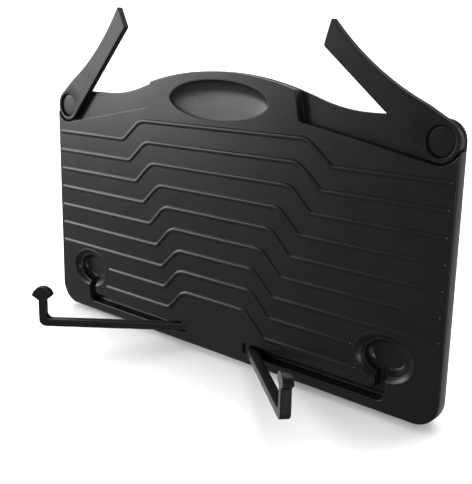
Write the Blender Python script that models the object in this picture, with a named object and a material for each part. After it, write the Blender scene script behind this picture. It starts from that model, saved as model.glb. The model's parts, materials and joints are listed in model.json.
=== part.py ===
"""Folding album stand: a leaning panel with two swing-out ears, two retainer arms and a rear kickstand.

Every piece is drawn in the panel's own frame: X to the right, Y into the panel from its front face,
Z up along the panel, with the origin at the middle of the front face's bottom edge. One empty leans the
whole stand back and puts it on the ground. Lengths are metres; MM converts from millimetres.
"""

import math

import bmesh
import bpy
from mathutils import Vector

MM = 0.001

# Panel outline
WIDTH = 300.0
SIDE_TOP = 149.5
ARCH_PEAK = 166.0
ARCH_R = 210.0
SWEEP_R = 102.8
FOOT_CORNER_R = 14.0
CORNER_R = 10.3
SHELL_DEPTH = 7.2
FRONT_WALL = 2.2

# Ears
PIVOT_X = WIDTH / 2 - CORNER_R
PIVOT_Z = 139.2
EAR_R = 10.0
EAR_FRONT = 0.4
EAR_BACK = 4.1
RECESS_DEPTH = 4.8
SEAT_R = 11.1
EAR_TIP_TOP_X = 57.9
EAR_TIP_LOW = (60.6, 143.3)
EAR_SAG = (110.0, 148.6)
EAR_SAG_R = 155.0
CAP_R = 7.25
CAP_BORE_R = 7.6
CAP_FRONT = 1.7
BORE_FLOOR = 2.9
SHAFT_R = 2.5
EAR_OPEN = {"left": 37.0, "right": 28.5}

# Retainer arms
ARM_PIVOT_X = 27.0
ARM_PIVOT_Y = 3.1
ARM_PIVOT_Z = 8.9
ARM_HALF = 2.3
ARM_THICK_HALF = 2.8
ARM_REACH = 89.6
ARM_NECK = 14.5
ARM_HEAD_HALF = 6.4
ARM_HEAD_TOP = 23.0
ARM_FLARE = 3.1
ARM_PIN_R = 1.2
ARM_OPEN = {"left": 40.0, "right": 38.0}
CHANNEL_DEPTH = 6.3
CHANNEL_HALF = 3.05
CHANNEL_END_X = 23.8
DISH_X = 118.0
DISH_Z = 29.0
DISH_A = 17.4
DISH_B = 12.7

# Grip scoop
GRIP_Z = 149.3
GRIP_A = 38.5
GRIP_B = 12.0
GRIP_DEPTH = 6.0

# Zigzag lines
LINE_COUNT = 9
LINE_TOP = 121.2
LINE_PITCH = 12.8
LINE_END_X = 146.0
LINE_HALF = 1.5
LINE_CREST = 0.6
LINE_RISE = 0.9
LINE_OUTER = (81, 75, 69, 62, 56, 50, 45, 42.5, 39)
LINE_INNER = (65, 60, 55, 48, 43, 37, 31, 30, 26)
LINE_START = {7: 97.0, 8: 100.0}

# Rear cover
COVER_INSET = 4.2
COVER_WALL = 1.6
COVER_FRONT = 7.5
COVER_BACK = 14.5
COVER_PLATE = 1.8
SCREWS = ((134, 52), (134, 118), (48, 24), (48, 118))

# Kickstand
LEAN = 15.0
HINGE_Z = 132.0
HINGE_Y = 11.9
LEG_FRONT = 9.4
LEG_BACK = 14.3
LEG_HALF = 30.4
LEG_FOOT_HALF = 25.0
LEG_END = 122.0
LEG_REACH = 131.0
LEG_PIN_R = 1.25
HINGE_PIN_X = 41.0
HINGE_PLATE_X = 49.0
POCKET_HALF = 31.5
POCKET_FLOOR = 9.1
POCKET_TOP = 138.2
GROUND = -3.4

FIT = 0.3


def clear_scene():
    for obj in list(bpy.data.objects):
        bpy.data.objects.remove(obj, do_unlink=True)
    for coll in list(bpy.data.collections):
        bpy.data.collections.remove(coll)


def collection(name):
    coll = bpy.data.collections.new(name)
    bpy.context.scene.collection.children.link(coll)
    return coll


clear_scene()
STAND = collection("album_stand")
CUTTERS = collection("cutters")


def material(name, color, rough, metal=0.0):
    mat = bpy.data.materials.new(name)
    mat.use_nodes = True
    shader = mat.node_tree.nodes["Principled BSDF"]
    shader.inputs["Base Color"].default_value = (*color, 1.0)
    shader.inputs["Roughness"].default_value = rough
    shader.inputs["Metallic"].default_value = metal
    return mat


LOOKS = {
    "shell": ((0.012, 0.012, 0.013), 0.38, 0.0),
    "moulding": ((0.014, 0.014, 0.015), 0.35, 0.0),
    "cover": ((0.016, 0.016, 0.017), 0.50, 0.0),
    "rubber": ((0.02, 0.02, 0.02), 0.85, 0.0),
    "steel": ((0.55, 0.55, 0.57), 0.30, 1.0),
    "zinc": ((0.42, 0.42, 0.43), 0.40, 1.0),
}


def finish(mesh_bm, name, look, parent=None, cutter=False):
    """Turn a bmesh drawn in millimetres into a named object."""
    bmesh.ops.remove_doubles(mesh_bm, verts=mesh_bm.verts, dist=1e-5)
    bmesh.ops.recalc_face_normals(mesh_bm, faces=mesh_bm.faces)
    for vert in mesh_bm.verts:
        vert.co *= MM
    mesh = bpy.data.meshes.new(name)
    mesh_bm.to_mesh(mesh)
    mesh_bm.free()
    obj = bpy.data.objects.new(name, mesh)
    if cutter:
        CUTTERS.objects.link(obj)
        obj.hide_render = True
        obj.display_type = "WIRE"
    else:
        STAND.objects.link(obj)
        mesh.materials.append(material(name, *LOOKS[look]))
    obj.parent = parent
    return obj


def add_loft(bm, rings):
    """Join equal rings of points into one closed solid with flat ends."""
    rows = [[bm.verts.new(p) for p in ring] for ring in rings]
    count = len(rows[0])
    for lower, upper in zip(rows, rows[1:]):
        for i in range(count):
            j = (i + 1) % count
            bm.faces.new((lower[i], lower[j], upper[j], upper[i]))
    bm.faces.new(rows[0])
    bm.faces.new(rows[-1])


def add_prism(bm, outline, y0, y1):
    """Extrude an XZ outline from depth y0 to depth y1; either depth may be a function of z."""
    front = y0 if callable(y0) else lambda z: y0
    back = y1 if callable(y1) else lambda z: y1
    add_loft(bm, [[(x, front(z), z) for x, z in outline], [(x, back(z), z) for x, z in outline]])


def add_box(bm, x, y, z):
    add_prism(bm, [(x[0], z[0]), (x[1], z[0]), (x[1], z[1]), (x[0], z[1])], *y)


def add_turned(bm, profile, axis, centre, count):
    """Revolve (radius, height) points about an axis. A profile with no zero radius makes a ring."""
    ring = all(r > 0 for r, _ in profile)
    rows = []
    for r, h in profile:
        row = []
        for k in range(count if r > 0 else 1):
            a = 2 * math.pi * k / count
            u, v = r * math.cos(a), r * math.sin(a)
            offset = {"X": (h, u, v), "Y": (u, h, v), "Z": (u, v, h)}[axis]
            row.append(bm.verts.new(Vector(centre) + Vector(offset)))
        rows.append(row)
    pairs = list(zip(rows, rows[1:]))
    if ring:
        pairs.append((rows[-1], rows[0]))
    for a, b in pairs:
        for i in range(count):
            j = (i + 1) % count
            corners = [a[i % len(a)], a[j % len(a)], b[j % len(b)], b[i % len(b)]]
            bm.faces.new(list(dict.fromkeys(corners)))


def add_cylinder(bm, r, axis, centre, h0, h1, count=16):
    add_turned(bm, [(0, h0), (r, h0), (r, h1), (0, h1)], axis, centre, count)


def boolean(obj, operand, operation="DIFFERENCE"):
    mod = obj.modifiers.new(operand.name, "BOOLEAN")
    mod.operation = operation
    mod.solver = "EXACT"
    mod.object = operand


def arc(cx, cz, r, a0, a1, count):
    """Points on a circle from angle a0 to a1, in degrees."""
    points = []
    for k in range(count + 1):
        a = math.radians(a0 + (a1 - a0) * k / count)
        points.append((cx + r * math.cos(a), cz + r * math.sin(a)))
    return points


def ellipse(cx, cz, a, b, count=36):
    turns = [2 * math.pi * (k + 0.5) / count for k in range(count)]
    return [(cx + a * math.cos(t), cz + b * math.sin(t)) for t in turns]


def rounded(points, radii, closed=True, count=4):
    """Replace each corner of a polyline by an arc of the matching radius."""
    out = []
    total = len(points)
    for i, (point, radius) in enumerate(zip(points, radii)):
        end = not closed and i in (0, total - 1)
        if radius <= 0 or end:
            out.append(point)
            continue
        here = Vector(point)
        to_prev = (Vector(points[i - 1]) - here).normalized()
        to_next = (Vector(points[(i + 1) % total]) - here).normalized()
        half = to_prev.angle(to_next) / 2
        reach = radius / math.tan(half)
        start = here + to_prev * reach
        stop = here + to_next * reach
        centre = here + (to_prev + to_next).normalized() * (radius / math.sin(half))
        a0 = math.atan2(start.y - centre.y, start.x - centre.x)
        a1 = math.atan2(stop.y - centre.y, stop.x - centre.x)
        sweep = (a1 - a0 + math.pi) % (2 * math.pi) - math.pi
        out += arc(centre.x, centre.y, radius, math.degrees(a0), math.degrees(a0 + sweep), count)
    return out


def mirrored(half):
    """Complete an outline whose right half runs from the bottom middle to the top middle."""
    left = [(-x, z) for x, z in reversed(half) if abs(x) > 1e-6]
    return half + left


ARCH_Z = ARCH_PEAK - ARCH_R
SWEEP_Z = SIDE_TOP + SWEEP_R
SWEEP_X = math.sqrt((ARCH_R + SWEEP_R) ** 2 - (SWEEP_Z - ARCH_Z) ** 2)
MEET = math.degrees(math.asin(SWEEP_X / (ARCH_R + SWEEP_R)))


def panel_outline(inset=0.0):
    half = [(0.0, inset)]
    foot = FOOT_CORNER_R
    half += arc(WIDTH / 2 - foot, foot, foot - inset, -90, 0, 8)
    half += arc(PIVOT_X, SIDE_TOP - CORNER_R, CORNER_R - inset, 0, 90, 10)
    half += arc(SWEEP_X, SWEEP_Z, SWEEP_R + inset, -90, -90 - MEET, 6)
    half += arc(0, ARCH_Z, ARCH_R - inset, 90 - MEET, 90, 8)[1:]
    return mirrored(half)


def flip(points, side):
    return points if side == "right" else [(-x, z) for x, z in points]


def tangent(point, r):
    """Angle, in degrees, at which a line from point touches the lower side of the pivot circle."""
    dx = PIVOT_X - point[0]
    dz = PIVOT_Z - point[1]
    slope = math.atan2(dz, dx) - math.asin(r / math.hypot(dx, dz))
    return math.degrees(slope) - 90


def recess_outline(grow=0.0):
    low = (59.0 - grow, 142.3)
    touch = tangent(low, SEAT_R + grow)
    reach = SEAT_R + grow
    exit_angle = -math.degrees(math.acos(CORNER_R / reach))
    seat = arc(PIVOT_X, PIVOT_Z, reach, touch, exit_angle, 10)
    step = (seat[-1][0] + 8.0, seat[-1][1])
    return [(52.6 - grow, 173.0), low, *seat, step, (step[0], 173.0)]


def ear_outline():
    """Right ear's outline in its stowed position, in the panel frame."""
    touch = tangent(EAR_TIP_LOW, EAR_R)
    end = arc(PIVOT_X, PIVOT_Z, EAR_R, touch, 94, 22)
    reach = math.degrees(math.asin((EAR_SAG[0] - EAR_TIP_TOP_X) / EAR_SAG_R))
    sag = arc(EAR_SAG[0], EAR_SAG[1] + EAR_SAG_R, EAR_SAG_R, -84.7, -90 - reach, 12)
    tip = sag.pop()
    corner = rounded([tip, EAR_TIP_LOW, end[0]], [0, 1.6, 0], closed=False)[1:-1]
    top = rounded([sag[-1], tip, EAR_TIP_LOW], [0, 1.0, 0], closed=False)[1:-1]
    return [*end, *sag, *top, *corner]


def channel_outline():
    """Right arm's channel: along the bottom edge, then up into the dish."""
    low = ARM_PIVOT_Z - CHANNEL_HALF
    top = ARM_PIVOT_Z + CHANNEL_HALF
    near = ARM_PIVOT_X + ARM_REACH - CHANNEL_HALF - 0.2
    far = ARM_PIVOT_X + ARM_REACH + CHANNEL_HALF + 0.2
    loop = [(CHANNEL_END_X, low), (far, low), (far, DISH_Z), (near, DISH_Z), (near, top), (CHANNEL_END_X, top)]
    return rounded(loop, [0, 4.6, 0, 0, 2.7, 0], count=5)


def head_outline():
    """Right arm's outline in its stowed position, in the frame of its pin."""
    reach = ARM_REACH
    half = ARM_HALF
    sagitta = ARM_HEAD_TOP - ARM_NECK - ARM_FLARE
    dome_r = (ARM_HEAD_HALF**2 + sagitta**2) / (2 * sagitta)
    dome_z = ARM_HEAD_TOP - dome_r
    edge = math.degrees(math.asin(ARM_HEAD_HALF / dome_r))
    dome = arc(reach, dome_z, dome_r, 90 - edge, 90 + edge, 12)
    outer = rounded([(0, -half), (reach + half, -half), (reach + half, ARM_NECK)], [0, 4.5, 0], closed=False)
    inner = rounded([(reach - half, ARM_NECK), (reach - half, half), (0, half)], [0, 3.5, 0], closed=False)
    return [*outer, *dome, *inner]


def line_path(index):
    low = LINE_TOP - LINE_PITCH * index
    end = LINE_START.get(index, LINE_END_X)
    outer = LINE_OUTER[index]
    inner = LINE_INNER[index]
    right = [(0, low + LINE_PITCH), (inner, low + LINE_PITCH), (outer, low), (end, low)]
    right = rounded(right, [0, 6, 6, 0], closed=False, count=3)
    return [(-x, z) for x, z in reversed(right[1:])] + right[1:]


def add_line(bm, path):
    """Sweep the raised line's section along a path, with its two ends narrowed to round them."""
    spine = [Vector(p) for p in path]
    grow = [(-1.45, 0.1), (-1.2, 0.6), (-0.7, 0.9)]
    first = (spine[1] - spine[0]).normalized()
    last = (spine[-1] - spine[-2]).normalized()
    rows = [(spine[0] + first * s, first, w) for s, w in grow]
    for i in range(1, len(spine) - 1):
        ahead = (spine[i + 1] - spine[i - 1]).normalized()
        rows.append((spine[i], ahead, 1.0))
    rows += [(spine[-1] - last * s, last, w) for s, w in reversed(grow)]
    rings = []
    for centre, ahead, scale in rows:
        side = Vector((-ahead.y, ahead.x))
        section = [(-LINE_HALF, 0.5), (-LINE_HALF, 0.0), (-LINE_CREST, -LINE_RISE * scale)]
        section += [(LINE_CREST, -LINE_RISE * scale), (LINE_HALF, 0.0), (LINE_HALF, 0.5)]
        ring = []
        for offset, depth in section:
            spot = centre + side * (offset * scale)
            ring.append((spot.x, depth, spot.y))
        rings.append(ring)
    add_loft(bm, rings)


def empty(name, location, rotation, parent=None):
    obj = bpy.data.objects.new(name, None)
    STAND.objects.link(obj)
    obj.location = Vector(location) * MM
    obj.rotation_euler = rotation
    obj.parent = parent
    return obj


frame = empty("panel_frame", (0, 0, 0), (math.radians(-LEAN), 0, 0))

# Front shell
bm = bmesh.new()
add_prism(bm, panel_outline(), 0, SHELL_DEPTH)
front_shell = finish(bm, "front_shell", "shell", frame)

bm = bmesh.new()
for index in range(LINE_COUNT):
    add_line(bm, line_path(index))
boolean(front_shell, finish(bm, "cut_lines", None, frame, True), "UNION")

bm = bmesh.new()
half_core = [(0, 17.5), (147.8, 17.5), (147.8, 125), (131, 126.0), (55.5, 138.8), (31, 136.6), (0, 133.1)]
add_prism(bm, mirrored(half_core), FRONT_WALL, SHELL_DEPTH + 2)
core = finish(bm, "cut_core", None, frame, True)

bm = bmesh.new()
for sign in (-1, 1):
    add_prism(bm, ellipse(sign * DISH_X, DISH_Z, DISH_A + 2, DISH_B + 2), FRONT_WALL - 1, SHELL_DEPTH + 3)
    for x, z in SCREWS:
        add_cylinder(bm, 3.4, "Y", (sign * x, 0, z), FRONT_WALL - 1, SHELL_DEPTH + 3)
boolean(core, finish(bm, "keep_bosses", None, frame, True))
boolean(front_shell, core)

bm = bmesh.new()
grip_low = GRIP_Z - GRIP_B
grip = ellipse(0, GRIP_Z, GRIP_A, GRIP_B)
add_prism(bm, grip, -3, lambda z: 0.2 + (GRIP_DEPTH - 0.2) * (z - grip_low) / (2 * GRIP_B))
for side in ("left", "right"):
    sign = 1 if side == "right" else -1
    add_prism(bm, flip(recess_outline(), side), -3, RECESS_DEPTH)
    for x, z in SCREWS:
        add_cylinder(bm, 1.6, "Y", (sign * x, 0, z), FRONT_WALL + 0.8, SHELL_DEPTH + 3)
boolean(front_shell, finish(bm, "cut_recesses", None, frame, True))

bm = bmesh.new()
for side in ("left", "right"):
    add_prism(bm, flip(channel_outline(), side), -3, CHANNEL_DEPTH)
boolean(front_shell, finish(bm, "cut_channels", None, frame, True))

bm = bmesh.new()
for sign in (-1, 1):
    rings = []
    for y, a, b in ((-3, DISH_A, DISH_B), (0.0, DISH_A, DISH_B), (1.6, 16.0, 11.4), (3.4, 15.2, 10.7)):
        rings.append([(x, y, z) for x, z in ellipse(sign * DISH_X, DISH_Z, a, b)])
    rings.append([(x, CHANNEL_DEPTH, z) for x, z in ellipse(sign * DISH_X, DISH_Z, 12.6, 8.4)])
    add_loft(bm, rings)
boolean(front_shell, finish(bm, "cut_dishes", None, frame, True))

bm = bmesh.new()
for sign in (-1, 1):
    add_cylinder(bm, ARM_PIN_R + 0.1, "Z", (sign * ARM_PIVOT_X, ARM_PIVOT_Y, 0), -3, 16.0)
    add_cylinder(bm, SHAFT_R + 0.1, "Y", (sign * PIVOT_X, 0, PIVOT_Z), RECESS_DEPTH - 1, SHELL_DEPTH + 3, 32)
boolean(front_shell, finish(bm, "cut_pin_holes", None, frame, True))

# Rear cover
bm = bmesh.new()
add_prism(bm, panel_outline(COVER_INSET), COVER_FRONT, COVER_BACK)
rear_cover = finish(bm, "rear_cover", "cover", frame)

bm = bmesh.new()
add_prism(bm, panel_outline(COVER_INSET + COVER_WALL), COVER_FRONT - 2, COVER_BACK - COVER_PLATE)
hollow = finish(bm, "cut_hollow", None, frame, True)

bm = bmesh.new()
wall_x = POCKET_HALF + 2.0
add_box(bm, (-wall_x, wall_x), (COVER_FRONT - 3, COVER_BACK + 1), (-4, POCKET_TOP + 2.2))
for sign in (-1, 1):
    lug = sorted((sign * (wall_x + 0.01), sign * 50.0))
    add_box(bm, lug, (COVER_FRONT - 3, COVER_BACK + 1), (HINGE_Z - 6, HINGE_Z + 6.4))
    for x, z in SCREWS:
        add_cylinder(bm, 3.8, "Y", (sign * x, 0, z), COVER_FRONT - 3, COVER_BACK + 1)
boolean(hollow, finish(bm, "keep_pocket", None, frame, True))
boolean(rear_cover, hollow)

bm = bmesh.new()
for sign in (-1, 1):
    lip = sorted((sign * 144.9, sign * 147.5))
    add_box(bm, lip, (5.4, 8.3), (22, 122))
boolean(rear_cover, finish(bm, "cover_lips", None, frame, True), "UNION")

bm = bmesh.new()
add_box(bm, (-POCKET_HALF, POCKET_HALF), (POCKET_FLOOR, COVER_BACK + 3), (-4, POCKET_TOP))
for sign in (-1, 1):
    for x, z in SCREWS:
        bore = [(0, 5), (1.7, 5), (1.7, 11.0), (2.9, 11.0), (2.9, 18), (0, 18)]
        add_turned(bm, bore, "Y", (sign * x, 0, z), 16)
boolean(rear_cover, finish(bm, "cut_pocket", None, frame, True))

bm = bmesh.new()
slot = arc(HINGE_Y, HINGE_Z, LEG_PIN_R + 0.1, 90, 270, 12)
slot = [(COVER_BACK + 2, slot[0][1]), *slot, (COVER_BACK + 2, slot[-1][1])]
add_loft(bm, [[(x, y, z) for y, z in slot] for x in (-HINGE_PIN_X - 0.3, HINGE_PIN_X + 0.3)])
boolean(rear_cover, finish(bm, "cut_hinge", None, frame, True))

bm = bmesh.new()
for sign in (-1, 1):
    seat = sorted((sign * (POCKET_HALF - 1), sign * (HINGE_PLATE_X + 0.3)))
    add_box(bm, seat, (13.4, COVER_BACK + 3), (HINGE_Z - 4.8, HINGE_Z + 4.8))
boolean(rear_cover, finish(bm, "cut_plate_seats", None, frame, True))

bm = bmesh.new()
for sign in (-1, 1):
    add_cylinder(bm, 1.1, "Y", (sign * 45.2, 0, HINGE_Z), 9.4, 14)
boolean(rear_cover, finish(bm, "cut_plate_holes", None, frame, True))

number = 0
for x, z in SCREWS:
    for sign in (-1, 1):
        number += 1
        bm = bmesh.new()
        shape = [(0, 3.6), (0.7, 3.6), (1.3, 4.6), (1.3, 11.1), (2.6, 11.1), (2.6, 12.2), (1.9, 12.8), (0, 12.8)]
        add_turned(bm, shape, "Y", (sign * x, 0, z), 12)
        finish(bm, f"cover_screw_{number}", "steel", frame)

# Rubber pads under the cover, cut level with the ground
lean = math.radians(LEAN)


def ground_z(y):
    return (GROUND + y * math.sin(lean)) / math.cos(lean)


for side, sign in (("left", -1), ("right", 1)):
    bm = bmesh.new()
    profile = [(9.3, ground_z(9.3)), (13.7, ground_z(13.7)), (13.7, COVER_INSET - 0.1), (9.3, COVER_INSET - 0.1)]
    rings = [[(sign * x, y, z) for y, z in profile] for x in (90, 120)]
    add_loft(bm, rings)
    finish(bm, f"foot_pad_{side}", "rubber", frame)

# Ears with their pivot stacks
for side, sign in (("left", -1), ("right", 1)):
    turn = math.radians(EAR_OPEN[side]) * sign
    axis = empty(f"ear_axis_{side}", (sign * PIVOT_X, 0, PIVOT_Z), (0, turn, 0), frame)

    bm = bmesh.new()
    local = [(x - sign * PIVOT_X, z - PIVOT_Z) for x, z in flip(ear_outline(), side)]
    add_prism(bm, local, EAR_FRONT, EAR_BACK)
    ear = finish(bm, f"ear_{side}", "moulding", axis)
    bm = bmesh.new()
    bore = [(0, -2), (CAP_BORE_R, -2), (CAP_BORE_R, BORE_FLOOR), (SHAFT_R + 0.1, BORE_FLOOR)]
    bore += [(SHAFT_R + 0.1, 8), (0, 8)]
    add_turned(bm, bore, "Y", (0, 0, 0), 32)
    boolean(ear, finish(bm, f"cut_ear_{side}", None, axis, True))

    bm = bmesh.new()
    under = BORE_FLOOR - 0.15
    shape = [(0, CAP_FRONT), (CAP_R - 0.4, CAP_FRONT), (CAP_R, CAP_FRONT + 0.4), (CAP_R, under), (SHAFT_R, under)]
    shape += [(SHAFT_R, 7.95), (1.1, 7.95), (1.1, 4.6), (0, 4.3)]
    add_turned(bm, shape, "Y", (0, 0, 0), 32)
    finish(bm, f"ear_cap_{side}", "moulding", axis)

    bm = bmesh.new()
    shape = [(0, 5.0), (0.95, 5.4), (0.95, 8.9), (2.6, 8.9), (2.6, 10.0), (1.9, 10.5), (0, 10.5)]
    add_turned(bm, shape, "Y", (0, 0, 0), 12)
    finish(bm, f"ear_screw_{side}", "steel", axis)

    bm = bmesh.new()
    add_turned(bm, [(1.2, 8.1), (4.0, 8.1), (4.0, 8.7), (1.2, 8.7)], "Y", (0, 0, 0), 24)
    finish(bm, f"ear_washer_{side}", "zinc", axis)

    bm = bmesh.new()
    add_turned(bm, [(2.7, 7.35), (4.0, 7.5), (4.0, 7.9), (2.7, 7.75)], "Y", (sign * PIVOT_X, 0, PIVOT_Z), 24)
    finish(bm, f"ear_spring_{side}", "steel", frame)

# Retainer arms
for side, sign in (("left", -1), ("right", 1)):
    turn = math.radians(ARM_OPEN[side]) * -sign
    place = (sign * ARM_PIVOT_X, ARM_PIVOT_Y, ARM_PIVOT_Z)
    axis = empty(f"arm_axis_{side}", place, (0, 0, turn), frame)

    bm = bmesh.new()
    layers = []
    for x, y in arc(0, 0, ARM_THICK_HALF, 270, 90, 12):
        outline = [(x, -ARM_HALF), *head_outline()[1:-1], (x, ARM_HALF)]
        layers.append([(sign * u, y, w) for u, w in outline])
    add_loft(bm, layers)
    arm = finish(bm, f"arm_{side}", "moulding", axis)
    bm = bmesh.new()
    add_cylinder(bm, ARM_PIN_R + 0.08, "Z", (0, 0, 0), -8, 8)
    boolean(arm, finish(bm, f"cut_arm_{side}", None, axis, True))

    bm = bmesh.new()
    pin = [(0, 1.5), (0.9, 1.5), (ARM_PIN_R, 1.8), (ARM_PIN_R, 15.5), (0.9, 15.8), (0, 15.8)]
    add_turned(bm, pin, "Z", (sign * ARM_PIVOT_X, ARM_PIVOT_Y, 0), 16)
    finish(bm, f"arm_pin_{side}", "steel", frame)

    bm = bmesh.new()
    low = ARM_PIVOT_Z + ARM_HALF + 0.1
    ring = [(ARM_PIN_R + 0.1, low), (2.6, low), (2.6, low + 0.4), (ARM_PIN_R + 0.1, low + 0.4)]
    add_turned(bm, ring, "Z", (sign * ARM_PIVOT_X, ARM_PIVOT_Y, 0), 16)
    finish(bm, f"arm_washer_{side}", "steel", frame)

# Kickstand
axis_height = HINGE_Z * math.cos(lean) - HINGE_Y * math.sin(lean) - GROUND
leg_angle = math.acos(axis_height / LEG_REACH)
opening = lean + leg_angle
kick_axis = empty("kickstand_axis", (0, HINGE_Y, HINGE_Z), (opening, 0, 0), frame)

front = LEG_FRONT - HINGE_Y
back = LEG_BACK - HINGE_Y
floor = POCKET_FLOOR - HINGE_Y + 0.05
heel_top = 5.0


def heel_y(z):
    """Face of the heel that lies flat on the pocket floor when the leg is open."""
    return (floor + z * math.sin(opening)) / math.cos(opening)


heel_low = (front * math.cos(opening) - floor) / math.sin(opening)
width_steps = ((LEG_HALF, heel_top), (LEG_HALF, -14.0), (LEG_FOOT_HALF, -LEG_END))
bm = bmesh.new()
outline = [(LEG_FOOT_HALF, -LEG_END), (LEG_HALF, -14.0), (LEG_HALF, heel_top)]
outline += [(-x, z) for x, z in reversed(outline)]
add_prism(bm, outline, front, back)
leg = finish(bm, "kickstand_leg", "cover", kick_axis)

bm = bmesh.new()
wedge = [(-9, heel_low - 0.001), (front, heel_low), (heel_y(heel_top + 4), heel_top + 4), (-9, heel_top + 4)]
add_loft(bm, [[(x, y, z) for y, z in wedge] for x in (-40, 40)])
boolean(leg, finish(bm, "cut_heel", None, kick_axis, True))

bm = bmesh.new()
panel = [(LEG_FOOT_HALF - 5, -LEG_END + 14), (LEG_HALF - 6, -18.0)]
panel += [(-x, z) for x, z in reversed(panel)]
add_prism(bm, rounded(panel, [4, 4, 4, 4]), front - 3, front + 2.6)
boolean(leg, finish(bm, "cut_leg_panel", None, kick_axis, True))

bm = bmesh.new()
add_cylinder(bm, LEG_PIN_R + 0.08, "X", (0, 0, 0), -45, 45)
boolean(leg, finish(bm, "cut_leg_pin", None, kick_axis, True))

bm = bmesh.new()


def sole_z(y):
    return -(axis_height + y * math.sin(leg_angle)) / math.cos(leg_angle)


half = LEG_FOOT_HALF
top = -LEG_END - 0.1
profile = [(front, sole_z(front)), (back, sole_z(back)), (back, top), (front, top)]
add_loft(bm, [[(x, y, z) for y, z in profile] for x in (-half, half)])
finish(bm, "kickstand_foot", "rubber", kick_axis)

bm = bmesh.new()
tip = HINGE_PIN_X - 0.4
pin = [(0, -HINGE_PIN_X), (0.9, -HINGE_PIN_X), (LEG_PIN_R, -tip)]
pin += [(r, -h) for r, h in reversed(pin)]
add_turned(bm, pin, "X", (0, HINGE_Y, HINGE_Z), 16)
finish(bm, "kickstand_pin", "steel", frame)

for side, sign in (("left", -1), ("right", 1)):
    bm = bmesh.new()
    hole = LEG_PIN_R + 0.08
    near = sign * 30.7
    far = sign * 31.2
    add_turned(bm, [(hole, near), (2.4, near), (2.4, far), (hole, far)], "X", (0, HINGE_Y, HINGE_Z), 16)
    finish(bm, f"hinge_washer_{side}", "steel", frame)

    bm = bmesh.new()
    add_box(bm, sorted((sign * 32.0, sign * HINGE_PLATE_X)), (13.55, 14.35), (HINGE_Z - 4.5, HINGE_Z + 4.5))
    plate = finish(bm, f"hinge_plate_{side}", "zinc", frame)
    bm = bmesh.new()
    add_cylinder(bm, 1.1, "Y", (sign * 45.2, 0, HINGE_Z), 10, 18)
    boolean(plate, finish(bm, f"cut_plate_{side}", None, frame, True))

    bm = bmesh.new()
    shape = [(0, 9.7), (0.9, 10.4), (0.9, 14.45), (2.0, 14.45), (2.0, 15.0), (1.5, 15.4), (0, 15.4)]
    add_turned(bm, shape, "Y", (sign * 45.2, 0, HINGE_Z), 12)
    finish(bm, f"hinge_screw_{side}", "steel", frame)


# Stand the model on the ground with its footprint centred on the origin
bpy.context.view_layer.update()
graph = bpy.context.evaluated_depsgraph_get()
low = Vector((math.inf, math.inf, math.inf))
high = -low
for obj in STAND.objects:
    if obj.type != "MESH":
        continue
    shape = obj.evaluated_get(graph).to_mesh()
    for vert in shape.vertices:
        spot = obj.matrix_world @ vert.co
        low = Vector(map(min, low, spot))
        high = Vector(map(max, high, spot))
frame.location -= Vector(((low.x + high.x) / 2, (low.y + high.y) / 2, low.z))
bpy.context.view_layer.update()
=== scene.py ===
import json
import math

import bmesh
import bpy
import numpy as np
from mathutils import Matrix, Vector
from mathutils.geometry import delaunay_2d_cdt


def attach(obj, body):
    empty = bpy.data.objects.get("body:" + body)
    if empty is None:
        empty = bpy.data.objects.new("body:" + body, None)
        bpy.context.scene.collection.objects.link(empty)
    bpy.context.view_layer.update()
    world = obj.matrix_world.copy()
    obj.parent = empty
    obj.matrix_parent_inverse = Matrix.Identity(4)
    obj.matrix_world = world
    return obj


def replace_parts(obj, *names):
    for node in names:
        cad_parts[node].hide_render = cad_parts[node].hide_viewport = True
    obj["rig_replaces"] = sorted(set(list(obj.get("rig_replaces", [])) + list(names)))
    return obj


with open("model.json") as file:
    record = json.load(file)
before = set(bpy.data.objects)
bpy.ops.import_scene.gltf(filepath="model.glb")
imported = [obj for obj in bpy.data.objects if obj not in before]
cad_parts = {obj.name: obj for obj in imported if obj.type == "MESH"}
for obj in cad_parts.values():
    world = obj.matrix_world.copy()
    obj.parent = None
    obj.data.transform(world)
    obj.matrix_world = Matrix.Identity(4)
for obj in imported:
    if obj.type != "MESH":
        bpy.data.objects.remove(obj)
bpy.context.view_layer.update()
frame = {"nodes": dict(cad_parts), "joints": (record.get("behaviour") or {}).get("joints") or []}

MM = 0.001
LEAN = math.radians(15.0)

# Dimensions shared with the CAD, in millimetres, in the panel's own frame:
# x to the right, y into the panel from its front face, z up along the panel.
HALF_W = 150.0
SIDE_TOP = 149.5
ARCH_PEAK = 166.0
ARCH_R = 210.0
SWEEP_R = 102.8
FOOT_R = 14.0
CORNER_R = 10.3
SHELL_DEPTH = 7.2
PIVOT = (139.7, 139.2)
EAR_R = 10.0
EAR_FRONT = 0.4
EAR_BACK = 4.1
EAR_TIP_TOP_X = 57.9
EAR_TIP_LOW = (60.6, 143.3)
EAR_SAG = (110.0, 148.6)
EAR_SAG_R = 155.0
EAR_OPEN = {-1: 37.0, 1: 28.5}
CAP_R = 7.25
CAP_BORE_R = 7.6
CAP_FRONT = 1.7
BORE_FLOOR = 2.9
SHAFT_R = 2.5
SEAT_R = 11.1
RECESS_DEPTH = 4.8
ARM_PIVOT = (27.0, 3.1, 8.9)
ARM_REACH = 89.6
ARM_HALF = 2.3
ARM_THICK_HALF = 2.8
ARM_NECK = 14.5
ARM_HEAD_HALF = 6.4
ARM_HEAD_TOP = 23.0
ARM_FLARE = 3.1
ARM_OPEN = {-1: 40.0, 1: 38.0}
CHANNEL_DEPTH = 6.3
CHANNEL_HALF = 3.05
DISH = (118.0, 29.0)
DISH_A = 17.4
DISH_B = 12.7
LINE_TOP = 121.2
LINE_PITCH = 12.8
LINE_END_X = 146.0
LINE_OUTER = (81, 75, 69, 62, 56, 50, 45, 42.5, 39)
LINE_INNER = (65, 60, 55, 48, 43, 37, 31, 30, 26)
LINE_START = {7: 97.0, 8: 100.0}
COVER_INSET = 4.2
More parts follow.
